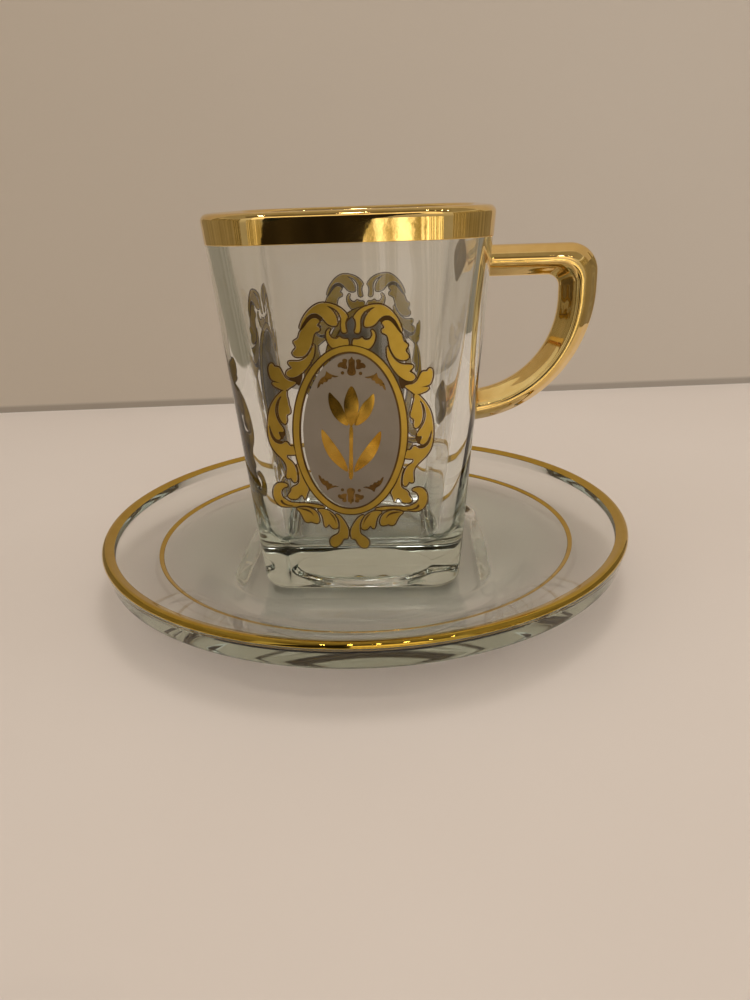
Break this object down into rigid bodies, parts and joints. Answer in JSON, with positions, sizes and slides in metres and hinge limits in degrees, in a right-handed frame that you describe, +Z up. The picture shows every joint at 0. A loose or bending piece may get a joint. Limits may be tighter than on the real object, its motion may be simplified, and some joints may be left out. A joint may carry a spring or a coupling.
{
  "type": "tea cup and saucer",
  "caption": "Square tapered glass tea cup with a gilded handle and lip and scroll framed ovals on its walls, standing in the square well of a round gold rimmed glass saucer.",
  "frame": {"origin": "middle of the saucer's flat sole, on the table", "axes": "+Z up, +X towards the handle, -Y towards the viewer and the front ornament"},
  "size_m": [0.12, 0.12, 0.0818],
  "materials": {
    "clear_glass": "gloss",
    "bright_gold": "mirror",
    "satin_gold": "satin",
    "silver": "mirror",
    "dark_gold": "gloss"
  },
  "bodies": {
    "saucer": {"saucer_glass": "clear_glass", "saucer_rim_gold": "bright_gold", "saucer_gold_line": "bright_gold"},
    "cup": {"cup_glass": "clear_glass", "cup_handle": "bright_gold", "cup_rim_gold": "bright_gold", "frame_front": "satin_gold", "frame_left": "satin_gold", "frame_back": "satin_gold", "medallion_front": "silver", "medallion_left": "silver", "medallion_back": "silver", "motif_front": "dark_gold", "motif_left": "dark_gold", "motif_back": "dark_gold"}
  },
  "joints": [
    {"name": "cup_lift", "type": "slide", "parent": "saucer", "child": "cup", "axis": [0, 0, 1], "range_m": [0, 0.1]}
  ]
}
